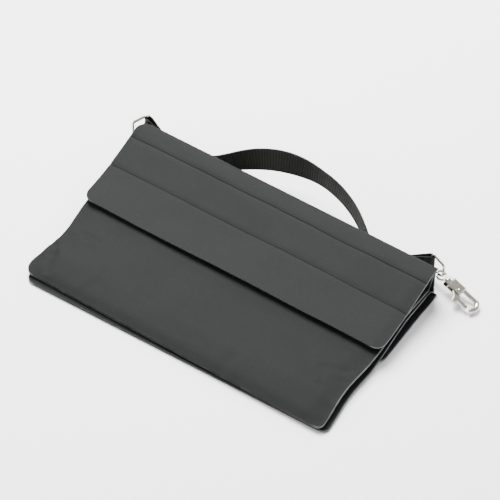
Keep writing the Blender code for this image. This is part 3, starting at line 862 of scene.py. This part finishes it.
def handle_across(share):
    """Upright at the ends, rolled over between the left end and past the middle."""
    part = min(1.0, max(0.0, (share * (HANDLE_ARCH + 2 * HANDLE_LAP) - HANDLE_LAP) / HANDLE_ARCH))
    roll = HANDLE_ROLL * sin(pi * min(1.0, part / HANDLE_ROLL_END)) ** 2
    return Vector((0, sin(roll), cos(roll)))


root = HANDLE_ROUTE[-1][0]
left_lap = [(-root - HANDLE_LAP + step * (HANDLE_LAP - 1) / 8, LAP_Y, WEBBING_Z) for step in range(9)]
right_lap = [(-x, y, z) for x, y, z in reversed(left_lap)]
arch = [tuple(bezier(HANDLE_ROUTE, step / 80)) for step in range(1, 80)]
handle_path = rounded(left_lap + arch + right_lap, 3)
handle = webbing("grab_handle_webbing", handle_path, handle_across, HANDLE_WIDTH, HANDLE_THICK)
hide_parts("handle_strap", "handle_left_patch", "handle_right_patch")
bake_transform(handle)

lap_face = LAP_Y + HANDLE_THICK / 2 + 0.1
for side, label in ((-1, "left"), (1, "right")):
    near = side * (root + 3)
    far = side * (root + HANDLE_LAP - 3.5)
    low = WEBBING_Z - BOX_HALF
    high = WEBBING_Z + BOX_HALF
    box = [(near, low), (far, low), (far, high), (near, high), (near, low), (far, high)]
    cross = [(near, high), (far, low)]
    for seam, corners in (("box", box), ("cross", cross)):
        sewn_path(f"handle_{label}_{seam}_stitches", [(x, lap_face, z) for x, z in corners], BACK, "spine")


# End rings: nickel-plated steel wire, bent to a trapezium for 25 mm webbing and butt-welded. Each one
# hangs by its long side in a loop of webbing that is sewn to the spine's end.
WIRE = 1.5
RING_HELD_SIDE = 30.0
RING_OUTER_SIDE = 17.0
RING_DEPTH = 17.0
RING_CORNER = 2.8
LEFT_BAR = Vector((-188.0, 64.4, 34.5))
LEFT_RING_WAY = Vector((-0.62, -0.785, 0.0))
RIGHT_BAR = Vector((172.9, 77.2, WEBBING_Z))
RIGHT_RING_WAY = Vector((0.976, -0.218, 0.0))
TAB_LOOP = 2.6
TAB_THICK = 1.2
TAB_LEAD = 4
TAB_SPREAD = 0.85
TAB_Y = 61.4
LOOP_STEPS = 16
NICKEL = (0.56, 0.54, 0.48, 1)
NICKEL_DULL = (0.38, 0.36, 0.31, 1)


def nickel_finish():
    finish = Finish("nickel_plate", Metallic=1.0)
    place = finish.object_place()
    dull = finish.step(finish.blotches(place, 160.0, 4.0), 0.45, 0.75)
    scratches = finish.step(finish.blotches(place, 1500.0, 6.0), 0.62, 0.72)
    finish.shade(Base_Color=finish.mix(dull * 0.6, NICKEL, NICKEL_DULL),
                 Roughness=0.12 + 0.10 * dull + 0.1 * scratches)
    finish.bump(scratches * 0.3 + dull * 0.4, 0.00003)
    return finish.material


nickel = nickel_finish()


def wire_ring(name, node, bar, way, body):
    """Bend the wire: four corners are rounded, then the line is swept to its thickness."""
    bpy.ops.object.select_all(action="DESELECT")
    bpy.ops.mesh.primitive_circle_add(vertices=4, radius=0.01)
    ring = bpy.context.object
    ring.name = name
    corners = ((0, -1, RING_HELD_SIDE), (RING_DEPTH, -1, RING_OUTER_SIDE), (RING_DEPTH, 1, RING_OUTER_SIDE),
               (0, 1, RING_HELD_SIDE))
    for vertex, (out, side, long) in zip(ring.data.vertices, corners):
        vertex.co = (bar + way.normalized() * out + Vector((0, 0, side * long / 2))) * MM
    bpy.ops.object.mode_set(mode="EDIT")
    bpy.ops.mesh.select_all(action="SELECT")
    bpy.ops.mesh.bevel(offset=RING_CORNER * MM, segments=8, affect="VERTICES")
    bpy.ops.object.mode_set(mode="OBJECT")
    bpy.ops.object.convert(target="CURVE")
    ring.data.bevel_depth = WIRE * MM
    ring.data.bevel_resolution = 6
    bpy.ops.object.convert(target="MESH")
    settle(ring, nickel)
    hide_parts(node)
    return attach(ring, body)


def tab_route(strap_end, bar):
    """Out from the strap's end, round the ring's bar and back along itself."""
    side = 1 if strap_end > 0 else -1
    start = Vector((strap_end + side * 1.2, TAB_Y, WEBBING_Z))
    travel = Vector((bar.x - start.x, bar.y - start.y, 0)).normalized()
    away = Vector((0, 0, side)).cross(travel)
    lead = bar - travel * TAB_LEAD
    route = [start + Vector((-side * 15, 0, 0)), start + Vector((-side * 7, 0, 0)),
             start + away * TAB_SPREAD, lead + away * TAB_LOOP]
    for step in range(LOOP_STEPS + 1):
        angle = pi * step / LOOP_STEPS
        route.append(bar + TAB_LOOP * (away * cos(angle) + travel * sin(angle)))
    return route + [lead - away * TAB_LOOP, start - away * TAB_SPREAD,
                    start + Vector((-side * 1.2, -1.6, 0))]


for label, bar, way, strap_end in (("left", LEFT_BAR, LEFT_RING_WAY, STRAP_ENDS[0]),
                                   ("right", RIGHT_BAR, RIGHT_RING_WAY, STRAP_ENDS[1])):
    wire_ring(f"{label}_end_ring_wire", f"{label}_ring", bar, way, f"{label}_end_ring")
    route = tab_route(strap_end, bar)
    tab = webbing(f"{label}_ring_webbing", route, upright, WEBBING_WIDTH, TAB_THICK, False)
    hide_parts(f"{label}_ring_tab")
    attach(tab, "spine")


# Swivel snap hook: cast zinc, tumbled and nickel-plated. The eye's stem turns in the collar; a rivet
# holds the gate in the body's channel, and a small coil spring behind it shuts the gate.
CASTINGS = (
    ("snap_eye", "snap_swivel_eye", "swivel_eye", 0.26, 4),
    ("snap_body", "snap_hook_casting", "hook", 0.28, 60),
    ("snap_gate", "snap_gate_lever", "gate", 0.24, 14),
)
PLATE_PER_PASS = 0.005
SPRING_GREY = (0.42, 0.42, 0.43, 1)
for node, name, body, grain, passes in CASTINGS:
    bpy.ops.object.select_all(action="DESELECT")
    casting = bpy.data.objects.new(name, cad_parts[node].data.copy())
    bpy.context.collection.objects.link(casting)
    casting.select_set(True)
    bpy.context.view_layer.objects.active = casting
    casting.data.materials.clear()
    bpy.ops.object.mode_set(mode="EDIT")
    bpy.ops.mesh.select_all(action="SELECT")
    bpy.ops.mesh.remove_doubles(threshold=0.001 * MM)
    bpy.ops.object.mode_set(mode="OBJECT")
    melt = casting.modifiers.new("melt", "REMESH")
    melt.mode = "VOXEL"
    melt.voxel_size = grain * MM
    tumble = casting.modifiers.new("tumble", "SMOOTH")
    tumble.factor = 0.5
    tumble.iterations = passes
    plate = casting.modifiers.new("plate", "DISPLACE")
    plate.mid_level = 0
    plate.strength = passes * PLATE_PER_PASS * MM
    apply_modifiers(casting)
    settle(casting, nickel)
    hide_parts(node)
    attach(casting, body)

spring_steel = Finish("spring_steel", Metallic=1.0, Base_Color=SPRING_GREY)
drawn = spring_steel.blotches(spring_steel.object_place(), 2500.0, 2.0)
spring_steel.shade(Roughness=0.22 + 0.2 * drawn)
for node, metal in (("snap_gate_pin", nickel), ("snap_gate_spring", spring_steel.material)):
    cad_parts[node].data.materials.clear()
    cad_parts[node].data.materials.append(metal)
